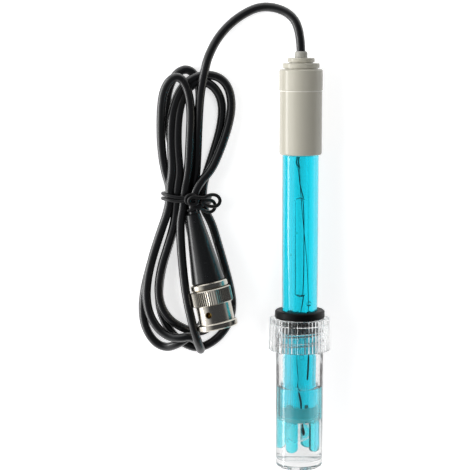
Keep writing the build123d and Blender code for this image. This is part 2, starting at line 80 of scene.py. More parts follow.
# %% The cable's route
cable_route = [
    # the bow from the head to the hank
    (0.0, 67.86, 7.15), (0.0, 76.35, 6.85), (-3.2, 83.3, 4.4), (-12.3, 86.0, 2.0), (-20.3, 82.5, 1.6),
    (-26.8, 76.6, 1.8), (-31.0, 69.2, 5.2), (-32.6, 62.0, 7.4),
    # down through the waist, under the plug, and round the inner left loop
    (-33.7, 55.9, 7.6), (-34.3, 47.0, 5.4), (-34.7, 37.4, 3.6), (-35.1, 29.8, 2.8), (-35.8, 25.0, 2.8),
    (-35.8, 17.6, 2.8), (-34.3, 10.3, 1.6), (-32.3, 2.0, 1.5), (-30.3, -6.4, 1.5), (-28.7, -13.8, 1.5),
    (-28.6, -19.5, 1.5), (-30.1, -23.7, 1.5), (-33.1, -26.0, 1.5), (-36.9, -26.0, 1.5), (-40.7, -24.2, 2.4),
    (-44.4, -21.3, 4.3), (-47.4, -16.7, 4.6), (-48.4, -10.7, 4.6), (-47.3, -3.0, 4.6), (-45.0, 4.2, 4.6),
    (-42.8, 11.5, 4.5), (-42.0, 17.6, 5.2), (-41.6, 25.0, 5.8),
    # up, over the top and down the inner right side
    (-40.7, 30.1, 5.4), (-41.4, 37.5, 4.8), (-41.4, 44.9, 4.6), (-40.8, 50.7, 4.6), (-39.5, 55.4, 4.6),
    (-37.4, 58.7, 4.6), (-34.4, 60.5, 4.6), (-31.1, 60.2, 4.2), (-28.4, 57.9, 3.2), (-26.7, 54.5, 2.2),
    (-26.2, 50.0, 1.5), (-27.1, 43.9, 1.5), (-29.1, 37.1, 1.5), (-31.3, 30.4, 2.0), (-33.0, 25.0, 2.8),
    # the right run beside the plug, round the bottom and back up on the left
    (-33.0, 17.6, 2.8), (-30.0, 12.4, 1.6), (-27.8, 4.7, 1.5), (-25.4, -3.6, 1.5), (-23.6, -10.6, 1.5),
    (-22.7, -17.0, 1.5), (-24.1, -23.0, 1.5), (-27.2, -27.6, 1.5), (-31.4, -30.8, 1.5), (-35.5, -31.9, 1.5),
    (-39.9, -30.1, 1.5), (-43.7, -26.9, 1.5), (-46.7, -21.9, 1.5), (-48.2, -16.3, 1.5), (-48.2, -9.9, 1.5),
    (-46.9, -2.6, 1.5), (-44.6, 4.7, 1.5), (-42.4, 11.8, 1.9), (-41.4, 17.6, 2.8), (-41.4, 25.0, 2.8),
    # the lowest loop of the upper lobe
    (-41.7, 29.7, 2.2), (-43.1, 37.1, 1.5), (-44.7, 44.6, 1.5), (-45.3, 51.8, 1.5), (-44.4, 58.2, 1.7),
    (-42.0, 63.0, 2.2), (-38.4, 64.9, 2.6), (-35.2, 62.7, 2.2), (-33.9, 58.0, 1.6), (-34.0, 51.6, 1.5),
    (-35.4, 43.9, 1.5), (-37.1, 36.5, 1.5), (-38.3, 29.7, 2.0), (-38.6, 25.0, 2.8), (-38.6, 17.6, 2.8),
    # under the plug again and out round the outermost left loop
    (-37.4, 10.3, 1.6), (-35.6, 2.0, 1.5), (-33.7, -6.4, 1.5), (-32.0, -14.2, 1.5), (-32.0, -20.0, 2.2),
    (-34.1, -24.1, 4.2), (-37.5, -27.1, 4.3), (-41.7, -29.8, 4.2), (-45.9, -31.7, 2.2), (-50.1, -29.7, 1.5),
    (-53.2, -24.4, 1.5), (-54.0, -18.0, 1.5), (-53.2, -10.6, 1.5), (-51.0, -2.2, 1.5), (-48.4, 6.2, 1.6),
    (-44.2, 18.5, 2.8), (-44.2, 25.0, 2.8),
    # up the left edge and over the top in front
    (-45.8, 29.8, 2.8), (-46.9, 37.3, 2.8), (-47.1, 44.8, 3.8), (-46.8, 51.7, 5.6), (-46.0, 57.2, 7.0),
    (-44.0, 61.1, 7.8), (-41.1, 62.6, 8.0), (-38.6, 60.4, 8.0), (-37.2, 55.9, 7.6), (-36.7, 49.9, 7.0),
    (-37.1, 42.4, 6.4), (-37.5, 34.9, 6.0), (-38.0, 28.8, 5.8), (-39.0, 25.0, 5.8), (-39.7, 17.6, 6.2),
    # the run that lies over the plug's shoulder and folds at its end
    (-40.6, 13.3, 7.2), (-40.3, 5.3, 8.8), (-39.6, -2.6, 10.6), (-38.6, -10.6, 12.1), (-37.2, -17.8, 12.2),
    (-35.6, -24.7, 11.0), (-34.1, -29.4, 8.8), (-33.7, -31.6, 6.4), (-34.2, -30.6, 4.6), (-35.4, -27.8, 5.8),
    (-37.8, -26.3, 7.2), (-40.9, -27.1, 7.2), (-44.7, -26.9, 6.0), (-48.5, -24.4, 4.8), (-51.4, -19.5, 4.5),
    (-52.5, -13.5, 4.5), (-52.0, -6.9, 4.5), (-50.2, 0.8, 4.5), (-47.5, 9.1, 4.6), (-44.1, 18.5, 5.8),
    (-44.1, 25.0, 5.8),
    # the outermost right loop, and down into the plug's boot
    (-43.1, 30.1, 5.6), (-43.4, 37.5, 4.8), (-43.6, 44.9, 4.7), (-42.9, 51.0, 4.8), (-41.2, 56.2, 5.2),
    (-38.6, 60.1, 5.4), (-35.0, 62.2, 4.8), (-30.8, 62.9, 3.8), (-26.6, 61.6, 3.2), (-23.8, 57.9, 3.2),
    (-23.0, 51.9, 3.4), (-24.2, 45.5, 3.6), (-26.7, 38.1, 4.0), (-29.9, 30.7, 5.0), (-34.3, 26.2, 5.7),
    (-36.5, 20.6, 6.7), (-36.2, 16.2, 7.2), (-35.1, 11.4, 7.8),
]
print("cable route", len(cable_route), "points")

# %% The cable
CURVE_ORDER = 3
CORD_STEPS = 6
CABLE_RADIUS = 1.5
CABLE_SIDES = 6


def new_line(name, kind, count, thickness, sides, steps=1):
    """A curve object with one spline of so many points, with a round section and closed ends."""
    curve = bpy.data.curves.new(name, "CURVE")
    curve.dimensions = "3D"
    line = curve.splines.new(kind)
    line.points.add(count - 1)
    if kind == "NURBS":
        line.order_u = CURVE_ORDER
        line.use_endpoint_u = True
        line.resolution_u = steps
    curve.bevel_depth = thickness
    curve.bevel_resolution = sides
    curve.use_fill_caps = True
    piece = bpy.data.objects.new(name, curve)
    bpy.context.scene.collection.objects.link(piece)
    return piece, line


def nurbs_cord(name, route, radius, sides):
    """One smooth round cord through a list of control points in millimetres."""
    # the section has a radius of one metre, and each point's own radius brings it to size
    cord, line = new_line(name, "NURBS", len(route), 1, sides, CORD_STEPS)
    for point, place in zip(line.points, route):
        point.co = (*(v * MM for v in place), 1)
        point.radius = radius * MM
    return cord


cable = nurbs_cord("cable", cable_route, CABLE_RADIUS, CABLE_SIDES)
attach(cable, "root")
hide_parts("cable_lead", "cable_hank")
print(cable.name, "radius", CABLE_RADIUS)

# %% [markdown]
# ## The tie
# A thin plastic-covered cord goes twice round the waist of the hank and ends in a bow on the right. It is a
# second curve of the same kind, only thinner: two turns, a tight knot, and two open bights.

# %% The tie's route
tie_route = [
    # first turn, over the front from the knot and round behind
    (-36.0, 21.8, 9.0), (-39.5, 21.8, 8.7), (-42.6, 22.0, 8.4), (-45.4, 22.6, 7.5), (-46.8, 22.7, 4.4),
    (-46.1, 22.4, 1.0), (-42.6, 22.0, 0.75), (-35.0, 21.6, 0.75), (-31.0, 21.4, 1.0), (-30.2, 21.2, 3.4),
    (-31.8, 21.5, 6.4), (-34.2, 21.8, 8.7),
    # second turn
    (-37.5, 20.9, 9.1), (-41.5, 20.5, 8.6), (-45.2, 21.1, 7.6), (-46.9, 21.0, 4.2), (-46.1, 20.6, 1.0),
    (-42.6, 20.3, 0.75), (-35.0, 19.9, 0.75), (-31.0, 19.8, 1.0), (-30.2, 19.7, 3.4), (-31.4, 19.4, 6.4),
    # the knot
    (-33.6, 19.2, 8.9), (-36.6, 19.4, 9.4), (-38.8, 20.6, 10.0), (-38.2, 22.6, 10.1), (-36.2, 23.2, 9.8),
    (-34.4, 21.8, 10.1), (-34.8, 19.8, 10.4), (-36.8, 19.6, 10.9), (-37.8, 21.2, 11.2), (-36.2, 22.6, 11.2),
    (-34.2, 22.2, 10.8),
    # the two bights
    (-32.4, 21.9, 9.7), (-30.2, 22.9, 8.2), (-27.8, 22.4, 7.1), (-26.8, 20.4, 6.6), (-28.0, 18.5, 6.8),
    (-31.0, 18.8, 8.2), (-33.6, 20.4, 9.7), (-31.9, 21.0, 8.6), (-29.8, 20.8, 7.0), (-28.6, 19.2, 5.6),
    (-28.9, 17.2, 5.4), (-30.8, 16.2, 6.0), (-32.8, 17.5, 7.8), (-34.6, 18.8, 9.5), (-36.4, 18.2, 9.5),
    (-37.8, 17.2, 9.2),
]
TIE_RADIUS = 0.6
TIE_SIDES = 4
tie = nurbs_cord("tie", tie_route, TIE_RADIUS, TIE_SIDES)
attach(tie, "root")
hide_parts("cable_tie")
print("tie points", len(tie_route))

# %% [markdown]
# ## Floor and light
# The object lies on white paper under soft light. A low strip on the left gives the long highlights on the
# head, the plug and the cable. A large lamp on the left and one overhead only brighten what faces them:
# reflections don't show them, because they would lie on the clear shaft as white bands. The paper adds a
# little of its own light where the camera, a reflection or a refraction looks at it, which keeps it white
# there.

# %% Colour and node helpers
BYTE = 255


def linear(colour):
    """An sRGB hex colour as the linear values that a shader wants, by the sRGB standard's curve."""
    parts = [int(colour[i:i + 2], 16) / BYTE for i in (1, 3, 5)]
    return (*((v / 12.92 if v <= 0.04045 else ((v + 0.055) / 1.055) ** 2.4) for v in parts), 1)


def add_node(tree, kind, settings=None, values=None, links=None):
    """Add one node, set its options and socket values, and link sockets to what feeds them."""
    made = tree.nodes.new(kind)
    for name, value in (settings or {}).items():
        setattr(made, name, value)
    for socket, value in (values or {}).items():
        made.inputs[socket].default_value = value
    for socket, source in (links or {}).items():
        tree.links.new(source, made.inputs[socket])
    return made


def looked_at(tree, path):
    """1 for a ray from the camera, a reflection or a refraction, and 0 for light on its way to the object."""
    direct = add_node(tree, "ShaderNodeMath", {"operation": "MAXIMUM"},
                      links={0: path.outputs["Is Camera Ray"], 1: path.outputs["Is Glossy Ray"]})
    return add_node(tree, "ShaderNodeMath", {"operation": "MAXIMUM"},
                    links={0: direct.outputs["Value"], 1: path.outputs["Is Transmission Ray"]})


def new_material(name):
    """An empty material with its tree and an output."""
    material = bpy.data.materials.new(name)
    material.use_nodes = True
    material.node_tree.nodes.clear()
    return material, material.node_tree, material.node_tree.nodes.new("ShaderNodeOutputMaterial")


print("helpers ready")

# %% Paper floor
FLOOR_SIZE = 6
PAPER_CLOUDS = 2.5
PAPER_GLOW = 0.66
bpy.ops.object.select_all(action="DESELECT")
bpy.ops.mesh.primitive_plane_add(size=FLOOR_SIZE)
floor = bpy.context.object
floor.name = "paper_floor"
paper, tree, output = new_material("matt_white_paper")
coords = add_node(tree, "ShaderNodeTexCoord")
mottle = add_node(tree, "ShaderNodeTexNoise", values={"Scale": 1 / (PAPER_CLOUDS * MM), "Detail": 3.0},
                  links={"Vector": coords.outputs["Object"]})
tone = add_node(tree, "ShaderNodeMix", {"data_type": "RGBA"},
                {"A": linear("#F4F4F4"), "B": linear("#F8F8F8")}, {"Factor": mottle.outputs["Fac"]})
matt = add_node(tree, "ShaderNodeBsdfDiffuse", links={"Color": tone.outputs["Result"]})
glow = add_node(tree, "ShaderNodeEmission", values={"Color": linear("#FFFFFF"), "Strength": PAPER_GLOW})
dark = add_node(tree, "ShaderNodeEmission", values={"Color": linear("#000000"), "Strength": 0.0})
path = add_node(tree, "ShaderNodeLightPath")
looked = looked_at(tree, path)
extra = add_node(tree, "ShaderNodeMixShader",
                 links={0: looked.outputs["Value"], 1: dark.outputs[0], 2: glow.outputs[0]})
both = add_node(tree, "ShaderNodeAddShader", links={0: matt.outputs[0], 1: extra.outputs[0]})
# seen through plastic, glass or liquid, the paper is plain white
through = add_node(tree, "ShaderNodeEmission", values={"Color": linear("#FDFDFD"), "Strength": 1.0})
paper_white = add_node(tree, "ShaderNodeMixShader",
                       links={0: path.outputs["Is Transmission Ray"], 1: both.outputs[0],
                              2: through.outputs[0]})
tree.links.new(paper_white.outputs[0], output.inputs["Surface"])
floor.data.materials.append(paper)
print("floor", floor.name)

# %% The room around
SIDE_SHARE = 0.35
DARK_FROM, DARK_TO = 0.20, 0.70
ROOM_POWER = 0.90
world = bpy.data.worlds.new("white_sweep_room")
bpy.context.scene.world = world
world.use_nodes = True
room = world.node_tree
around = add_node(room, "ShaderNodeTexCoord")
split = add_node(room, "ShaderNodeSeparateXYZ", links={"Vector": around.outputs["Generated"]})
# the room is pale near the floor and on the left, and darker overhead and on the right
sided = add_node(room, "ShaderNodeMath", {"operation": "MULTIPLY_ADD"}, {1: SIDE_SHARE},
                 {0: split.outputs["X"], 2: split.outputs["Z"]})
rise = add_node(room, "ShaderNodeMapRange", values={"From Min": DARK_FROM, "From Max": DARK_TO},
                links={"Value": sided.outputs["Value"]})
shade = add_node(room, "ShaderNodeMix", {"data_type": "RGBA"},
                 {"A": linear("#F6F7F8"), "B": linear("#4A4C4F")}, {"Factor": rise.outputs["Result"]})
path = add_node(room, "ShaderNodeLightPath")
looked = looked_at(room, path)
# light that reaches an opaque piece through clear walls comes from a white room, as in a light tent
inside = add_node(room, "ShaderNodeMath", {"operation": "MINIMUM"},
                  links={0: path.outputs["Is Transmission Ray"], 1: path.outputs["Diffuse Depth"]})
tent = add_node(room, "ShaderNodeMix", {"data_type": "RGBA"}, {"B": linear("#FFFFFF")},
                {"A": shade.outputs["Result"], "Factor": inside.outputs["Value"]})
power = add_node(room, "ShaderNodeMapRange", values={"To Min": ROOM_POWER, "To Max": 1.0},
                 links={"Value": looked.outputs["Value"]})
room.links.new(tent.outputs["Result"], room.nodes["Background"].inputs["Color"])
room.links.new(power.outputs["Result"], room.nodes["Background"].inputs["Strength"])
print("room", world.name)


# %% Lamps
def soft_light(name, place, target, width, height, power):
    """A rectangular soft light at one place in metres, turned to face another."""
    data = bpy.data.lights.new(name, "AREA")
    data.shape = "RECTANGLE"
    data.size, data.size_y, data.energy = width, height, power
    lamp = bpy.data.objects.new(name, data)
    lamp.location = place
    lamp.rotation_euler = (Vector(target) - Vector(place)).to_track_quat("-Z", "Y").to_euler()
    bpy.context.scene.collection.objects.link(lamp)
    return lamp


window = soft_light("left_window", place=(-0.62, 0.10, 0.30), target=(-0.02, 0.0, 0.0),
                    width=0.40, height=0.80, power=3.2)
strip = soft_light("left_strip", place=(-0.40, 0.02, 0.055), target=(-0.02, 0.02, 0.01),
                   width=0.60, height=0.08, power=0.85)
ceiling = soft_light("ceiling", place=(0.45, 0.30, 1.20), target=(0.0, 0.0, 0.0),
                     width=0.6, height=0.6, power=3.6)
for lamp in (window, ceiling):
    lamp.visible_glossy = False
for lamp in (window, strip, ceiling):
    lamp.visible_transmission = False
bpy.context.scene.view_settings.view_transform = "Standard"
# a ray through bottle, liquid, shaft, gel, stem and filling crosses more than twenty surfaces
TRANSMISSION_BOUNCES = 32
GLOSSY_BOUNCES = 16
MOST_BOUNCES = 36
bpy.context.scene.cycles.transmission_bounces = TRANSMISSION_BOUNCES
bpy.context.scene.cycles.glossy_bounces = GLOSSY_BOUNCES
bpy.context.scene.cycles.max_bounces = MOST_BOUNCES

# %% [markdown]
# ## Soft black plastics
# The cable's jacket and the plug's boot are plasticised PVC, extruded and moulded: nearly black, with a
# satin skin that gives long grey highlights. Small uneven waves in the skin break those highlights up. The
# tie is a thread in a coat of the same plastic, so it is duller and has a finer grain.

# %% Black PVC
TONE_CLOUDS = 9
GLOSSIER, DULLER = 0.05, 0.07
SKIN_STRENGTH = 0.5
PLASTIC_IOR = 1.5


def satin_plastic(name, deep, pale, rough, grain, bump_mm, shine=0.5, clear=0.0, glow=0.0):
    """A moulded or extruded satin plastic: slow change of tone, fine grain in gloss and skin."""
    material, tree, output = new_material(name)
    coords = add_node(tree, "ShaderNodeTexCoord")
    slow = add_node(tree, "ShaderNodeTexNoise", values={"Scale": 1 / (TONE_CLOUDS * MM), "Detail": 2.0},
                    links={"Vector": coords.outputs["Object"]})
    colour = add_node(tree, "ShaderNodeMix", {"data_type": "RGBA"}, {"A": linear(deep), "B": linear(pale)},
                      {"Factor": slow.outputs["Fac"]})
    fine = add_node(tree, "ShaderNodeTexNoise", values={"Scale": 1 / (grain * MM), "Detail": 3.0},
                    links={"Vector": coords.outputs["Object"]})
    gloss = add_node(tree, "ShaderNodeMapRange",
                     values={"To Min": rough - GLOSSIER, "To Max": rough + DULLER},
                     links={"Value": fine.outputs["Fac"]})
    skin = add_node(tree, "ShaderNodeBump", values={"Strength": SKIN_STRENGTH, "Distance": bump_mm * MM},
                    links={"Height": fine.outputs["Fac"]})
    # glow is an emission on the plastic: painted light, not lit by any lamp
    shader = add_node(tree, "ShaderNodeBsdfPrincipled",
                      values={"IOR": PLASTIC_IOR, "Specular IOR Level": shine, "Transmission Weight": clear,
                              "Emission Strength": glow},
                      links={"Base Color": colour.outputs["Result"], "Roughness": gloss.outputs["Result"],
                             "Normal": skin.outputs["Normal"]})
    tree.links.new(shader.outputs["BSDF"], output.inputs["Surface"])
    return material


def finish_with(material, *names):
    """Give these frame nodes a finish."""
    for name in names:
        for slot in nodes[name].material_slots:
            slot.material = material


def give(piece, material):
    """Leave one material on a piece."""
    piece.data.materials.clear()
    piece.data.materials.append(material)


# extruded PVC jacket: waves 2 mm apart, as the cooling bath leaves them
jacket = satin_plastic("extruded_black_pvc", "#0E0E0F", "#141415", rough=0.22, grain=2.0, bump_mm=0.012,
                       shine=0.95)
give(cable, jacket)
# moulded PVC boot: the same resin from a smoother mould
boot_pvc = satin_plastic("moulded_black_pvc", "#121314", "#18191A", rough=0.24, grain=1.6, bump_mm=0.006,
                         shine=0.75)
finish_with(boot_pvc, "connector_boot")
# thin PVC coat over a thread: the thread's lay shows as a half-millimetre grain
tie_skin = satin_plastic("pvc_covered_thread", "#0F0F10", "#171718", rough=0.34, grain=0.5, bump_mm=0.03)
give(tie, tie_skin)
print("black plastics", jacket.name, boot_pvc.name, tie_skin.name)

# %% [markdown]
# ## The head
# The head is moulded ABS in a warm light grey, with the fine satin skin that a polished mould leaves. Its
# bush is moulded nylon, which comes out a little darker and duller. Both are the same kind of plastic
# surface as the boot, so they use the same function with other colours and a finer grain.

# %% Moulded ABS and nylon
abs_grey = satin_plastic("moulded_abs_warm_grey", "#BFBBAC", "#C5C1B3", rough=0.19, grain=0.25, bump_mm=0.003)
finish_with(abs_grey, "head_sleeve", "head_cap")
nylon = satin_plastic("moulded_nylon_pale_grey", "#A9A79F", "#B2B0A8", rough=0.34, grain=0.3, bump_mm=0.005)
finish_with(nylon, "cable_bush")
print("head", abs_grey.name, nylon.name)

# %% [markdown]
# ## Clear pieces
# The shaft is clear polycarbonate tinted cyan, the stem and bulb are thin glass, and the bottle and its cap
# are clear polystyrene. Each is a dielectric: its colour tints what is seen through it, and its index bends
# it. Moulding leaves slow waves in the surface, which pull the things behind them into streaks along the
# flow.

# %% Clear materials
FLOW_STRETCH = 8.0
WAVE_STRENGTH = 0.6
HAZE = 0.03


def clear_material(name, tint, index, wave_mm, wave_height, stretch=FLOW_STRETCH):
    """A transparent solid: a tint, an index, and slow waves drawn out along the electrode's length."""
    material, tree, output = new_material(name)
    coords = add_node(tree, "ShaderNodeTexCoord")
    drawn = add_node(tree, "ShaderNodeMapping", values={"Scale": (1.0, 1.0 / stretch, 1.0)},
                     links={"Vector": coords.outputs["Object"]})
    waves = add_node(tree, "ShaderNodeTexNoise", values={"Scale": 1 / (wave_mm * MM), "Detail": 2.0},
                     links={"Vector": drawn.outputs["Vector"]})
    skin = add_node(tree, "ShaderNodeBump", values={"Strength": WAVE_STRENGTH, "Distance": wave_height * MM},
                    links={"Height": waves.outputs["Fac"]})
    gloss = add_node(tree, "ShaderNodeMapRange", values={"To Min": 0.0, "To Max": HAZE},
                     links={"Value": waves.outputs["Fac"]})
    shader = add_node(tree, "ShaderNodeBsdfPrincipled",
                      values={"Base Color": linear(tint), "IOR": index, "Transmission Weight": 1.0},
                      links={"Normal": skin.outputs["Normal"], "Roughness": gloss.outputs["Result"]})
    tree.links.new(shader.outputs["BSDF"], output.inputs["Surface"])
    return material


# moulded tinted polycarbonate: n 1.585, flow waves a couple of millimetres apart
cyan_clear = clear_material("moulded_polycarbonate_cyan", "#5EF1FE", index=1.585, wave_mm=2.6,
                            wave_height=0.006)
# drawn and blown sensor glass: n 1.50, almost no waves
stem_clear = clear_material("drawn_sensor_glass", "#FCFFFF", index=1.50, wave_mm=3.0, wave_height=0.003)
# clear polystyrene bottle: n 1.59 for the resin, set a little lower here, with broad soft waves
bottle_clear = clear_material("blown_clear_polystyrene", "#FEFEFE", index=1.55, wave_mm=4.0,
                              wave_height=0.005)
# moulded polystyrene cap: the same resin from a sharper mould
cap_clear = clear_material("moulded_clear_polystyrene", "#FDFEFE", index=1.55, wave_mm=3.0, wave_height=0.003)
# potassium chloride gel and solution: n a little above water's 1.33
gel_clear = clear_material("potassium_chloride_gel", "#FEFFFF", index=1.36, wave_mm=4.0, wave_height=0.004)
liquid_clear = clear_material("potassium_chloride_solution", "#FEFFFF", index=1.35, wave_mm=5.0,
                              wave_height=0.002, stretch=1.0)
clear_ones = (cyan_clear, stem_clear, bottle_clear, cap_clear, gel_clear, liquid_clear)
print("clear materials", [m.name for m in clear_ones])

# %% [markdown]
# ## Where the electrode lies
# The electrode rests on its cap and on the band of its head, so its axis leans by two degrees. The clear
# pieces are turned shapes: an outline drawn with extruded vertices, spun about the axis, and then laid down
# by one matrix.

# %% The electrode's own axes
CREST_RADIUS = 10.55
BAND_RADIUS = 7.27
BUSH_RADIUS = 2.08
BOTTLE_RADIUS = 8.02
EDGE_ROUND = 0.4
REAR_REST = 41.05
FRONT_REST = 135.1
BUSH_END = 141.4
lean = atan((CREST_RADIUS - BAND_RADIUS) / (FRONT_REST - REAR_REST))
axis_height = CREST_RADIUS * cos(lean) + REAR_REST * sin(lean)
axis_back = -(BUSH_END * cos(lean) + (BUSH_RADIUS + EDGE_ROUND - BOTTLE_RADIUS) * sin(lean)) / 2
lying = Matrix(((1, 0, 0, 0),
                (0, -sin(lean), cos(lean), axis_back * MM),
                (0, -cos(lean), -sin(lean), axis_height * MM),
                (0, 0, 0, 1)))
print("lean", round(lean * 180 / pi, 3), "back", round(axis_back, 3), "height", round(axis_height, 3))

# %% Selecting, laying down and cutting
MOULD_SEGMENTS = 2


def pick(piece):
    """Select one piece alone and make it the active one."""
    bpy.ops.object.select_all(action="DESELECT")
    piece.select_set(True)
    bpy.context.view_layer.objects.active = piece


def lay_down(piece):
    """Move a piece that was built about Z to its place and put that place into its mesh."""
    pick(piece)
    piece.matrix_world = lying
    bpy.ops.object.transform_apply(location=True, rotation=True, scale=True)


def make_mesh(piece):
    """Turn a curve into a mesh and lay it down."""
    pick(piece)
    bpy.ops.object.convert(target="MESH")
    lay_down(piece)


def cut_away(piece, tool, name):
    """Cut one piece's shape out of another and remove the tool."""
    pick(piece)
    cut = piece.modifiers.new(name, "BOOLEAN")
    cut.operation, cut.object, cut.solver = "DIFFERENCE", tool, "EXACT"
    bpy.ops.object.modifier_apply(modifier=cut.name)
    bpy.data.objects.remove(tool)


def soften_edges(piece, width, angle):
    """Round the sharp edges a little, because no mould fills its corners."""
    pick(piece)
    soften = piece.modifiers.new("mould_edges", "BEVEL")
    soften.width, soften.segments = width * MM, MOULD_SEGMENTS
    soften.limit_method, soften.angle_limit = "ANGLE", radians(angle)
    bpy.ops.object.modifier_apply(modifier=soften.name)


print("handling helpers ready")

# %% Turned shapes
SMOOTH_ANGLE = radians(32)
SPIN_STEPS = 96
FINE_SPIN = 128
MERGE = 0.001


def spun(name, outline, steps=SPIN_STEPS):
    """A turned shape from (radius, height) corners in millimetres, closed or from pole to pole."""
    bpy.ops.object.select_all(action="DESELECT")
    bpy.ops.mesh.primitive_plane_add(size=MM, location=(0, 0, 0))
    piece = bpy.context.object
    piece.name = name
    bpy.ops.object.mode_set(mode="EDIT")
    bpy.ops.mesh.select_mode(type="VERT")
    bpy.ops.mesh.merge(type="CENTER")
    bpy.ops.transform.translate(value=(outline[0][0] * MM, 0, outline[0][1] * MM))
    for (r_from, h_from), (r_to, h_to) in zip(outline, outline[1:]):
        step = ((r_to - r_from) * MM, 0, (h_to - h_from) * MM)
        bpy.ops.mesh.extrude_region_move(TRANSFORM_OT_translate={"value": step})
    bpy.ops.mesh.select_all(action="SELECT")
    bpy.ops.mesh.spin(steps=steps, angle=2 * pi, center=(0, 0, 0), axis=(0, 0, 1))
    bpy.ops.mesh.select_all(action="SELECT")
    bpy.ops.mesh.remove_doubles(threshold=MERGE * MM)
    bpy.ops.mesh.normals_make_consistent(inside=False)
    bpy.ops.object.mode_set(mode="OBJECT")
    bpy.ops.object.shade_smooth_by_angle(angle=SMOOTH_ANGLE)
    return piece


def arc(centre, radius, start, end, count):
    """Corners of an arc in an outline: degrees from the outward direction, towards the axis's top."""
    turns = [radians(start + (end - start) * i / count) for i in range(count + 1)]
    return [(centre[0] + radius * cos(t), centre[1] + radius * sin(t)) for t in turns]


print("turned shapes ready")

# %% [markdown]
# ## Glass stem and bulb
# The bulb is blown from the end of a thin tube, so its wall flows into the stem in a small waist. The stem
# is open inside down to the bulb, and its filling is added as a piece of its own that reaches a hair into
# the glass. Light then passes from glass to liquid without an air film between them, as it does in the real
# one.

# %% Stem and bulb
BULB_MIDDLE = (0, 12.0)
BULB_OUTSIDE, BULB_INSIDE, BULB_FILLED = 3.4, 3.1, 3.13
BULB_FOOT, OUTER_WAIST, INNER_WAIST = -84, 42, 50
BULB_STEPS = 21
stem_outline = [(0, 8.6)] + arc(BULB_MIDDLE, BULB_OUTSIDE, BULB_FOOT, OUTER_WAIST, BULB_STEPS)
stem_outline += [(2.32, 14.7), (2.18, 15.3), (2.15, 16.2), (2.15, 109.4)]
stem_outline += [(1.6, 109.4), (1.6, 15.9), (1.7, 15.2)]
stem_outline += arc(BULB_MIDDLE, BULB_INSIDE, INNER_WAIST, BULB_FOOT, BULB_STEPS) + [(0, 8.9)]
stem = spun("glass_stem_and_bulb", stem_outline)
lay_down(stem)
give(stem, stem_clear)
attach(stem, "root")
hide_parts("glass_stem")
print(stem.name, len(stem.data.polygons))

# %% Filling of the stem, with its long bubble
filling_outline = [(0, 8.87)] + arc(BULB_MIDDLE, BULB_FILLED, BULB_FOOT, INNER_WAIST, BULB_STEPS)
filling_outline += [(1.73, 15.2), (1.63, 15.9), (1.63, 60.1), (1.2, 59.6), (0.7, 59.3), (0, 59.2)]
filling = spun("stem_filling", filling_outline)
lay_down(filling)
give(filling, gel_clear)
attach(filling, "root")
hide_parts("inner_solution")
upper_outline = [(0, 92.9), (0.8, 92.75), (1.3, 92.4), (1.63, 91.8), (1.63, 106.63), (0, 106.63)]
upper = spun("stem_filling_upper", upper_outline)
lay_down(upper)
give(upper, gel_clear)
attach(upper, "root")
print(filling.name, upper.name)

# %% Gel round the stem
gel_outline = [(2.12, 17.17), (4.43, 17.17), (4.43, 106.63), (2.12, 106.63), (2.12, 17.17)]
gel = spun("reference_gel_body", gel_outline)
lay_down(gel)
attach(gel, "root")
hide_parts("reference_gel")
print(gel.name)

# %% [markdown]
# ## The shaft
# The shaft is one moulding: a thick tube whose radius narrows by a third of a millimetre towards its tip,
# where four guard prongs stand round the bulb. It is spun as a plain tube. A disc with a rounded block
# taken out for each prong is then cut away from its end, which leaves the prongs standing.

# %% Shaft as a plain tube
shaft_outline = [(4.4, 5.6), (5.55, 5.6), (5.75, 5.8), (6.1, 78.0), (6.1, 107.1), (5.9, 107.1), (5.9, 113.6),
                 (4.4, 113.6), (4.4, 5.6)]
shaft = spun("shaft_and_prongs", shaft_outline, steps=FINE_SPIN)
print(shaft.name, len(shaft.data.polygons))

# %% The tool that leaves the prongs
PRONG_COUNT = 4
PRONG_TURN = -29.0
PRONG_ROUND = 1.5
PRONG_SEGMENTS = 6
BLOCK_SIZE = (10 * MM, 3.4 * MM, 14 * MM)
BLOCK_OUT = 5 * MM
BLOCK_MIDDLE = 12.6 * MM
LONG_EDGE = 5 * MM
DISC_RADIUS = 8 * MM
DISC_DEPTH = 13.2 * MM
DISC_MIDDLE = 9.6 * MM
DISC_SIDES = 64
bpy.ops.object.select_all(action="DESELECT")
bpy.ops.mesh.primitive_cylinder_add(vertices=DISC_SIDES, radius=DISC_RADIUS, depth=DISC_DEPTH,
                                    location=(0, 0, DISC_MIDDLE))
cutter = bpy.context.object
for index in range(PRONG_COUNT):
    turn = radians(PRONG_TURN + index * 360 / PRONG_COUNT)
    bpy.ops.object.select_all(action="DESELECT")
    place = (BLOCK_OUT * cos(turn), BLOCK_OUT * sin(turn), BLOCK_MIDDLE)
    bpy.ops.mesh.primitive_cube_add(size=1, location=place, rotation=(0, 0, turn), scale=BLOCK_SIZE)
    block = bpy.context.object
    bpy.ops.object.mode_set(mode="EDIT")
    bpy.ops.mesh.select_all(action="DESELECT")
    bpy.ops.object.mode_set(mode="OBJECT")
    bpy.context.tool_settings.mesh_select_mode = (False, True, False)
    # the two long edges at the prong's tip
    for edge in block.data.edges:
        ends = [block.data.vertices[v].co for v in edge.vertices]
        edge.select = all(end.z < 0 for end in ends) and abs(ends[0].x - ends[1].x) > LONG_EDGE
    bpy.ops.object.mode_set(mode="EDIT")
    bpy.ops.mesh.select_mode(type="EDGE")
    bpy.ops.mesh.bevel(offset=PRONG_ROUND * MM, segments=PRONG_SEGMENTS, affect="EDGES")
    bpy.ops.object.mode_set(mode="OBJECT")
    cut_away(cutter, block, "block")
print("prongs", PRONG_COUNT, "tool faces", len(cutter.data.polygons))

# %% Shaft with its prongs
cut_away(shaft, cutter, "gaps")
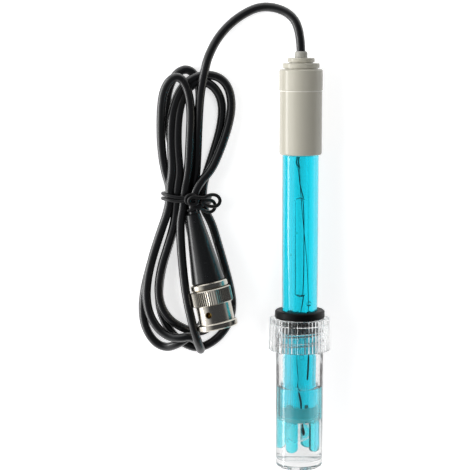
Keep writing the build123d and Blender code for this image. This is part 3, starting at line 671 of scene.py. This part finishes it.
# a copy with sharp edges is kept, to be taken out of the storage liquid later
bpy.ops.object.duplicate()
wet_shape = bpy.context.object
wet_shape.name = "wet_shape"
soften_edges(shaft, width=0.12, angle=50)
bpy.ops.object.shade_smooth_by_angle(angle=SMOOTH_ANGLE)
lay_down(shaft)
give(shaft, cyan_clear)
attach(shaft, "root")
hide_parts("body_tube")
print(shaft.name, len(shaft.data.polygons))

# %% [markdown]
# ## Storage bottle
# The bottle is a thick clear tube with a ringed foot. Its neck carries a coarse screw thread, which shows
# through the cap as slanted bright lines. The wall is spun like the other turned pieces, and the thread is
# a ridge swept along a helix.

# %% Bottle
bottle_outline = [(0, 0.9), (5.0, 0.9), (5.4, 0.6), (5.6, 0.1), (5.9, 0.0), (7.2, 0.0), (7.7, 0.2),
                  (8.0, 0.75), (8.02, 1.1), (8.02, 39.3), (7.9, 39.9), (7.67, 40.5), (7.67, 49.1),
                  (7.5, 49.3), (6.9, 49.3), (6.77, 49.1), (6.77, 3.4), (6.6, 2.9), (6.2, 2.6), (0, 2.6)]
bottle = spun("storage_bottle_body", bottle_outline, steps=FINE_SPIN)
lay_down(bottle)
give(bottle, bottle_clear)
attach(bottle, "bottle_group")
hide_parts("storage_bottle")
print(bottle.name, len(bottle.data.polygons))

# %% Screw thread of the neck
THREAD_RADIUS = 7.75
THREAD_RIDGE = 0.55
THREAD_SIDES = 3
THREAD_LOW, THREAD_HIGH = 41.4, 47.6
THREAD_START = 20
THREAD_PITCH = 3.0
TURN_POINTS = 48
END_SHARE = 0.1
END_SWELL = 12
thread_turns = (THREAD_HIGH - THREAD_LOW) / THREAD_PITCH
steps = int(thread_turns * TURN_POINTS)
neck_thread, helix = new_line("neck_thread", "POLY", steps + 1, THREAD_RIDGE * MM, THREAD_SIDES)
for index, point in enumerate(helix.points):
    share = index / steps
    turn = radians(THREAD_START) + 2 * pi * thread_turns * share
    height = THREAD_LOW + (THREAD_HIGH - THREAD_LOW) * share
    point.co = (THREAD_RADIUS * MM * cos(turn), THREAD_RADIUS * MM * sin(turn), height * MM, 1)
    # the ridge tapers away at both ends
    point.radius = min(1, END_SHARE + END_SWELL * min(share, 1 - share))
make_mesh(neck_thread)
give(neck_thread, bottle_clear)
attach(neck_thread, "bottle_group")
print(neck_thread.name, len(neck_thread.data.polygons))

# %% [markdown]
# ## Cap
# The cap is an open ring with fifty ribs for wet fingers. It is a many-sided cylinder: of every four
# corners round the rim two stay out and two go in, which gives flat-topped ribs. Its upper rim is drawn in
# a little, as the mould's taper does, and a turned bore is cut out of it.

# %% Ribbed ring
RIB_COUNT = 50
CORNERS_PER_RIB = 4
RIB_VALLEY = 0.978
MOULD_TAPER = 0.965
CAP_RADIUS = 10.5 * MM
CAP_DEPTH = 10.8 * MM
CAP_MIDDLE = 46.1 * MM
UPPER_RIM = 46 * MM


def squeeze_selected(share):
    """Bring the corners that are selected nearer to the axis."""
    bpy.ops.object.mode_set(mode="EDIT")
    bpy.ops.transform.resize(value=(share, share, 1), orient_type="GLOBAL")
    bpy.ops.mesh.select_all(action="DESELECT")
    bpy.ops.object.mode_set(mode="OBJECT")


def round_the_rim(corner):
    """A corner's angle round the axis, by which the corners are sorted."""
    return corner.co.xy.angle_signed(Vector((1, 0.001)), 0)


bpy.ops.object.select_all(action="DESELECT")
bpy.ops.mesh.primitive_cylinder_add(vertices=RIB_COUNT * CORNERS_PER_RIB, radius=CAP_RADIUS, depth=CAP_DEPTH,
                                    location=(0, 0, CAP_MIDDLE))
cap = bpy.context.object
cap.name = "ribbed_cap"
bpy.ops.object.transform_apply(location=True, rotation=True, scale=True)
bpy.context.tool_settings.mesh_select_mode = (True, False, False)
bpy.ops.object.mode_set(mode="EDIT")
bpy.ops.mesh.select_all(action="DESELECT")
bpy.ops.object.mode_set(mode="OBJECT")
# each place round the rim has an upper and a lower corner, so two corners share one place
for index, corner in enumerate(sorted(cap.data.vertices, key=round_the_rim)):
    corner.select = index // 2 % CORNERS_PER_RIB in (0, 1)
squeeze_selected(RIB_VALLEY)
for corner in cap.data.vertices:
    corner.select = corner.co.z > UPPER_RIM
squeeze_selected(MOULD_TAPER)
print(cap.name, "ribs", RIB_COUNT)

# %% Cap with its bore
bore_outline = [(0, 40.0), (9.35, 40.0), (8.95, 40.9), (8.95, 49.3), (8.6, 49.6), (6.72, 49.6), (6.72, 52.0),
                (0, 52.0)]
bore = spun("cap_bore", bore_outline)
cut_away(cap, bore, "bore")
soften_edges(cap, width=0.10, angle=60)
CAP_SMOOTH_ANGLE = radians(25)
bpy.ops.object.shade_smooth_by_angle(angle=CAP_SMOOTH_ANGLE)
lay_down(cap)
give(cap, cap_clear)
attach(cap, "cap_group")
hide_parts("bottle_cap")
print(cap.name, len(cap.data.polygons))

# %% [markdown]
# ## Storage liquid
# A little solution keeps the bulb wet. It climbs the walls of the narrow gap between bottle and shaft, so
# its surface is a hollow curve. It is spun as a full body, and the wetted pieces are then taken out of it a
# hair smaller than they are, so that plastic and glass reach into the liquid and no film of air is left
# between.

# %% Storage liquid
BULB_WETTED = 3.37
WET_OVERLAP = 0.03
liquid_outline = [(0, 2.57), (6.2, 2.57), (6.63, 2.9), (6.8, 3.4), (6.8, 28.6), (6.7, 28.1), (6.5, 27.7),
                  (6.3, 27.6), (6.1, 27.7), (5.9, 28.1), (5.8, 28.6), (0, 28.6)]
liquid = spun("storage_liquid", liquid_outline)
core_outline = [(0, 8.63)] + arc(BULB_MIDDLE, BULB_WETTED, BULB_FOOT, OUTER_WAIST, BULB_STEPS)
core_outline += [(2.29, 14.7), (2.15, 15.3), (2.12, 16.17), (4.6, 16.17), (4.6, 30.0), (0, 30.0)]
dry_core = spun("dry_core", core_outline)
pick(wet_shape)
bpy.ops.object.mode_set(mode="EDIT")
bpy.ops.mesh.select_all(action="SELECT")
bpy.ops.transform.shrink_fatten(value=-WET_OVERLAP * MM)
bpy.ops.object.mode_set(mode="OBJECT")
for dry in (wet_shape, dry_core):
    cut_away(liquid, dry, "wetted_piece")
bpy.ops.object.shade_smooth_by_angle(angle=SMOOTH_ANGLE)
lay_down(liquid)
give(liquid, liquid_clear)
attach(liquid, "bottle_group")
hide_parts("storage_solution")
print(liquid.name, len(liquid.data.polygons))

# %% [markdown]
# ## Seal, potting and the groove ring
# A silicone plug closes the shaft above the prongs, held by a little epoxy that was poured in from below
# and set uneven. A pale ring fills the groove under the head's band; its pale colour is a painted highlight
# along the band's lower edge. All three are turned shapes, and the epoxy's lower face is then moved up and
# down by two waves that run across it.

# %% Seal
seal_outline = [(2.13, 17.25), (2.4, 17.2), (4.0, 17.2), (4.2, 17.4), (4.2, 20.9), (4.0, 21.1), (2.4, 21.1),
                (2.13, 21.05), (2.13, 17.25)]
seal = spun("silicone_seal", seal_outline)
lay_down(seal)
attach(seal, "root")
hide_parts("lower_seal")
print(seal.name)

# %% Potting with its uneven face
POTTING_FACE = 16.3 * MM
BROAD_RIPPLE, FINE_RIPPLE = 0.35, 0.25
BROAD_X, BROAD_Y = 11, 3
FINE_X, FINE_Y = -4, 17
potting_outline = [(2.13, 16.0), (2.4, 15.7), (3.0, 15.5), (3.6, 15.6), (4.1, 15.8), (4.43, 16.2),
                   (4.43, 17.2), (2.13, 17.2), (2.13, 16.0)]
potting = spun("epoxy_potting", potting_outline)
for corner in potting.data.vertices:
    if corner.co.z < POTTING_FACE:
        turn = Vector((corner.co.x, corner.co.y, 0)).normalized()
        broad = BROAD_RIPPLE * sin(BROAD_X * turn.x + BROAD_Y * turn.y)
        fine = FINE_RIPPLE * cos(FINE_Y * turn.y + FINE_X * turn.x)
        corner.co.z += (broad + fine) * MM
lay_down(potting)
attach(potting, "root")
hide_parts("lower_potting")
print(potting.name)

# %% Pale ring in the head's groove, a painted highlight
groove_ring_outline = [(6.5, 128.05), (7.08, 128.05), (7.12, 128.2), (7.12, 128.35), (7.08, 128.45), (6.5, 128.45),
                (6.5, 128.05)]
groove_highlight_ring = spun("groove_highlight_ring", groove_ring_outline)
lay_down(groove_highlight_ring)
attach(groove_highlight_ring, "root")
print(groove_highlight_ring.name)

# %% [markdown]
# ## Wires
# A silver wire runs down the stem; it is soft, so it leans on the glass beside the bubble and wanders below
# it. The reference wire outside the stem is thickened by silver chloride at its end. Both are soldered to
# the leads that come down from the head. Each wire is a curve with a thickness of its own at every point,
# made a mesh.

# %% Wire helper
WIRE_STEPS = 5
WIRE_SIDES = 3
WIRE_SMOOTH_ANGLE = radians(40)


def wire(name, radius, route):
    """A thin bent wire as a mesh, from (sideways, up, along, thickness share) in millimetres."""
    piece, line = new_line(name, "NURBS", len(route), radius * MM, WIRE_SIDES, WIRE_STEPS)
    for point, (side, up, along, share) in zip(line.points, route):
        point.co = (side * MM, -up * MM, along * MM, 1)
        point.radius = share
    make_mesh(piece)
    bpy.ops.object.shade_smooth_by_angle(angle=WIRE_SMOOTH_ANGLE)
    return piece


print("wire helper ready")

# %% Silver wire and its element
SILVER_RADIUS = 0.12
ELEMENT_RADIUS = 0.18
silver_route = [
    (-0.75, 0.7, 103.6, 1), (-0.5, 0.6, 101.0, 1), (-0.2, 0.6, 98.0, 1), (0.25, 0.5, 95.0, 1),
    (0.9, 0.3, 92.0, 1.2), (1.25, 0.2, 86.0, 1.5), (1.38, 0.0, 76.0, 1.5), (1.3, 0.1, 66.0, 1.5),
    (0.9, 0.2, 59.0, 1.2), (0.2, 0.4, 54.0, 0.7), (-0.6, 0.6, 47.0, 0.6), (-1.0, 0.7, 41.0, 0.6),
    (-0.9, 0.8, 35.0, 0.6), (-0.65, 0.8, 30.5, 0.7), (-0.75, 0.8, 28.4, 1.6), (-0.5, 0.9, 27.0, 2.0),
    (0.0, 0.9, 25.6, 2.2), (0.35, 0.8, 23.6, 2.2), (0.5, 0.7, 21.0, 1.6), (0.5, 0.7, 18.4, 1.6),
    (0.65, 0.7, 16.4, 1.8), (1.0, 0.6, 13.0, 1.8),
]
element_route = [(0.95, 0.6, 13.4, 1), (1.0, 0.6, 12.8, 2.2), (1.1, 0.6, 11.7, 2.6), (1.15, 0.6, 10.8, 1.2)]
silver = wire("silver_wire", SILVER_RADIUS, silver_route)
element = wire("silver_element", ELEMENT_RADIUS, element_route)
print(silver.name, element.name)

# %% Leads, reference wire and solder beads
LEAD_RADIUS = 0.2
REFERENCE_RADIUS = 0.09
core_route = [(-0.2, 0.4, 113.4, 1), (-0.2, 0.4, 110.5, 1), (-0.7, 0.5, 107.5, 1), (-1.05, 0.6, 105.0, 1),
              (-1.0, 0.7, 103.8, 1), (-0.75, 0.7, 103.4, 1)]
screen_route = [(0.3, 3.3, 113.4, 1), (0.1, 3.3, 110.5, 1), (-0.5, 3.3, 107.5, 1), (-0.75, 3.3, 105.0, 1),
                (-0.6, 3.35, 103.4, 1), (-0.35, 3.35, 102.8, 1)]
reference_route = [
    (-0.4, 3.35, 103.2, 1), (-0.3, 3.4, 99.0, 1), (0.1, 3.45, 92.0, 1), (0.9, 3.3, 82.0, 1),
    (1.8, 2.8, 72.0, 1), (2.3, 2.2, 60.0, 1), (2.4, 2.1, 50.0, 1), (2.4, 2.1, 41.0, 1),
    (2.4, 2.1, 38.9, 1), (2.38, 2.1, 38.6, 3.0), (2.3, 2.1, 36.0, 3.2), (2.2, 2.1, 33.0, 3.0),
    (2.05, 2.1, 30.8, 2.6),
]
core_bead_route = [(-1.05, 0.65, 104.6, 0.6), (-1.02, 0.68, 104.0, 1.6), (-0.8, 0.7, 103.4, 0.6)]
screen_bead_route = [(-0.7, 3.35, 104.4, 0.6), (-0.6, 3.36, 103.8, 1.6), (-0.4, 3.36, 103.0, 0.6)]
core = wire("core_lead_wire", LEAD_RADIUS, core_route)
screen = wire("screen_lead_wire", LEAD_RADIUS, screen_route)
reference = wire("reference_silver_wire", REFERENCE_RADIUS, reference_route)
core_joint = wire("core_solder_bead", LEAD_RADIUS, core_bead_route)
screen_joint = wire("screen_solder_bead", LEAD_RADIUS, screen_bead_route)
for piece, node in ((silver, "inner_wire"), (element, None), (reference, "reference_wire")):
    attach(piece, "root")
    if node:
        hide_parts(node)
for piece, node in ((core, "core_lead"), (screen, "screen_lead")):
    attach(piece, "root")
    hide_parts(node)
for piece, node in ((core_joint, "core_solder_joint"), (screen_joint, "screen_solder_joint")):
    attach(piece, "root")
    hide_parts(node)
print(core.name, screen.name, reference.name, core_joint.name, screen_joint.name)

# %% [markdown]
# ## Air in the gel
# The gel is thick when it is filled in, so a few bubbles stay in it. Each is a hollow with no wall of its
# own, so it is cut out of the gel with a small ball, a little longer along the shaft than across it.

# %% Air bubbles in the gel
BUBBLE_SEGMENTS, BUBBLE_RINGS = 20, 12
BUBBLE_LENGTH = 1.12
bubbles = [(2.5, 1.95, 56.9, 0.78), (0.45, 3.25, 38.6, 0.75), (-1.2, 3.1, 81.0, 0.35), (-2.6, 1.9, 73.5, 0.3)]
for side, up, along, size in bubbles:
    bpy.ops.object.select_all(action="DESELECT")
    bpy.ops.mesh.primitive_uv_sphere_add(segments=BUBBLE_SEGMENTS, ring_count=BUBBLE_RINGS, radius=size * MM,
                                         location=(0, 0, 0))
    air = bpy.context.object
    bpy.ops.object.mode_set(mode="EDIT")
    bpy.ops.mesh.select_all(action="SELECT")
    bpy.ops.transform.resize(value=(1, 1, BUBBLE_LENGTH), orient_type="GLOBAL")
    bpy.ops.transform.translate(value=(side * MM, -up * MM, along * MM))
    bpy.ops.object.mode_set(mode="OBJECT")
    lay_down(air)
    cut_away(gel, air, "air")
give(gel, gel_clear)
bpy.ops.object.shade_smooth_by_angle(angle=SMOOTH_ANGLE)
print(gel.name, len(gel.data.polygons))

# %% [markdown]
# ## Rubber, ceramic and fillings
# The pieces inside are small but show through the clear shaft, and the seal outside is black rubber. They
# are all dull or satin solids, so the function for plastics serves them too. Silicone and epoxy let light
# in and scatter it, so a part of their colour is made clear. Their faint glow is painted light: it stands
# in for the light that reaches them through the clear walls around them.

# %% Rubber, silicone and epoxy
# moulded black rubber: nearly black, dull, with a fine bloom
rubber = satin_plastic("moulded_black_rubber", "#060607", "#0B0B0C", rough=0.46, grain=0.3, bump_mm=0.02,
                       shine=0.22)
finish_with(rubber, "bottle_seal")
# moulded silicone: milky and soft, so light comes back out of it; its glow is painted light for the light
# that comes in through the shaft
silicone = satin_plastic("moulded_silicone_grey", "#E8F0F0", "#F4F9F9", rough=0.5, grain=0.6, bump_mm=0.02,
                         shine=0.3, clear=0.3, glow=0.15)
finish_with(silicone, "upper_stopper")
give(seal, silicone)
# cast epoxy: poured by hand, half clear, with deep ripples; its glow is painted light for the light that
# comes in through the walls around it
epoxy = satin_plastic("cast_epoxy", "#E6F4F2", "#F6FDFC", rough=0.3, grain=0.9, bump_mm=0.10,
                      shine=0.4, clear=0.6, glow=0.12)
finish_with(epoxy, "head_potting")
give(potting, epoxy)
# pale ring in the groove under the band: its colour is a painted highlight, the light that the band's lower
# edge catches
groove_highlight_paint = satin_plastic("pale_groove_painted_highlight", "#DEDBD0", "#E8E5DB", rough=0.3, grain=0.4, bump_mm=0.01)
give(groove_highlight_ring, groove_highlight_paint)
print("rubber and castings", rubber.name, silicone.name, epoxy.name, groove_highlight_paint.name)

# %% Ceramic, insulation and gasket
# fired ceramic wick: white and matt, with pores too fine to see one by one
ceramic = satin_plastic("fired_white_ceramic", "#E4E1D8", "#F0EEE8", rough=0.7, grain=0.15, bump_mm=0.01)
finish_with(ceramic, "junction_wick")
# extruded lead insulation: dark grey and satin
insulation = satin_plastic("extruded_lead_insulation", "#30363A", "#3C4346", rough=0.4, grain=0.5,
                           bump_mm=0.01)
for piece in (core, screen):
    give(piece, insulation)
# turned PTFE: white and waxy
ptfe = satin_plastic("turned_ptfe", "#E9E9E4", "#F2F2EE", rough=0.45, grain=0.3, bump_mm=0.004)
finish_with(ptfe, "contact_insulator")
# cut silicone gasket: brick red, as these plugs have it
gasket = satin_plastic("cut_silicone_gasket", "#5A2A22", "#6B352B", rough=0.5, grain=0.3, bump_mm=0.01)
finish_with(gasket, "front_gasket")
print("small pieces", ceramic.name, insulation.name, ptfe.name, gasket.name)

# %% [markdown]
# ## Metals
# The plug is brass, turned, knurled and plated with bright nickel, which is warmer than chrome. Handling
# leaves fine scratches that soften its reflections unevenly. The contacts inside have a thin flash of gold.

# %% Plated and plain metals
STAIN_CLOUDS = 4
SCRATCH_STRETCH = 0.12
SHINIER, WORN = 0.05, 0.10
SCRATCH_STRENGTH = 0.4


def metal(name, deep, pale, rough, scratch_mm, bump_mm):
    """A metal with its reflections broken by fine scratches and slow stains."""
    material, tree, output = new_material(name)
    coords = add_node(tree, "ShaderNodeTexCoord")
    stains = add_node(tree, "ShaderNodeTexNoise", values={"Scale": 1 / (STAIN_CLOUDS * MM), "Detail": 3.0},
                      links={"Vector": coords.outputs["Object"]})
    colour = add_node(tree, "ShaderNodeMix", {"data_type": "RGBA"}, {"A": linear(deep), "B": linear(pale)},
                      {"Factor": stains.outputs["Fac"]})
    drawn = add_node(tree, "ShaderNodeMapping", values={"Scale": (1.0, SCRATCH_STRETCH, 1.0)},
                     links={"Vector": coords.outputs["Object"]})
    marks = add_node(tree, "ShaderNodeTexNoise", values={"Scale": 1 / (scratch_mm * MM), "Detail": 4.0},
                     links={"Vector": drawn.outputs["Vector"]})
    gloss = add_node(tree, "ShaderNodeMapRange", values={"To Min": rough - SHINIER, "To Max": rough + WORN},
                     links={"Value": marks.outputs["Fac"]})
    skin = add_node(tree, "ShaderNodeBump", values={"Strength": SCRATCH_STRENGTH, "Distance": bump_mm * MM},
                    links={"Height": marks.outputs["Fac"]})
    shader = add_node(tree, "ShaderNodeBsdfPrincipled", values={"Metallic": 1.0},
                      links={"Base Color": colour.outputs["Result"], "Roughness": gloss.outputs["Result"],
                             "Normal": skin.outputs["Normal"]})
    tree.links.new(shader.outputs["BSDF"], output.inputs["Surface"])
    return material


# bright nickel plate: a little warm, and glossy between fine handling scratches
nickel = metal("bright_nickel_plate", "#C2BCB0", "#D3CDC2", rough=0.2, scratch_mm=0.2, bump_mm=0.004)
finish_with(nickel, "connector_body", "coupling_nut")
# gold flash on turned brass: yellow and glossy
gold = metal("gold_flashed_brass", "#C9A24E", "#DDBB6A", rough=0.2, scratch_mm=0.2, bump_mm=0.004)
finish_with(gold, "outer_contact", "centre_pin")
# spring steel and tin plate: plain grey
steel = metal("spring_steel_and_tin", "#8E8E8C", "#A5A4A0", rough=0.3, scratch_mm=0.2, bump_mm=0.004)
finish_with(steel, "crimp_ferrule", "wave_washer")
# silver under silver chloride: brown-black and dull, with a fine crust
chloride = metal("silver_with_chloride", "#3B3735", "#55504C", rough=0.45, scratch_mm=0.1, bump_mm=0.01)
for piece in (silver, element, reference):
    give(piece, chloride)
# hand-soldered joint: a dull grey skin with small lumps
solder = metal("dull_solder", "#6E6F70", "#8A8B8B", rough=0.4, scratch_mm=0.3, bump_mm=0.02)
for piece in (core_joint, screen_joint):
    give(piece, solder)
print("metals", [m.name for m in (nickel, gold, steel, chloride, solder)])

# %% [markdown]
# ## Finish
# The view layer is brought up to date. The visual model has to stay inside the engineering model's box.

# %% Finish
bpy.context.view_layer.update()
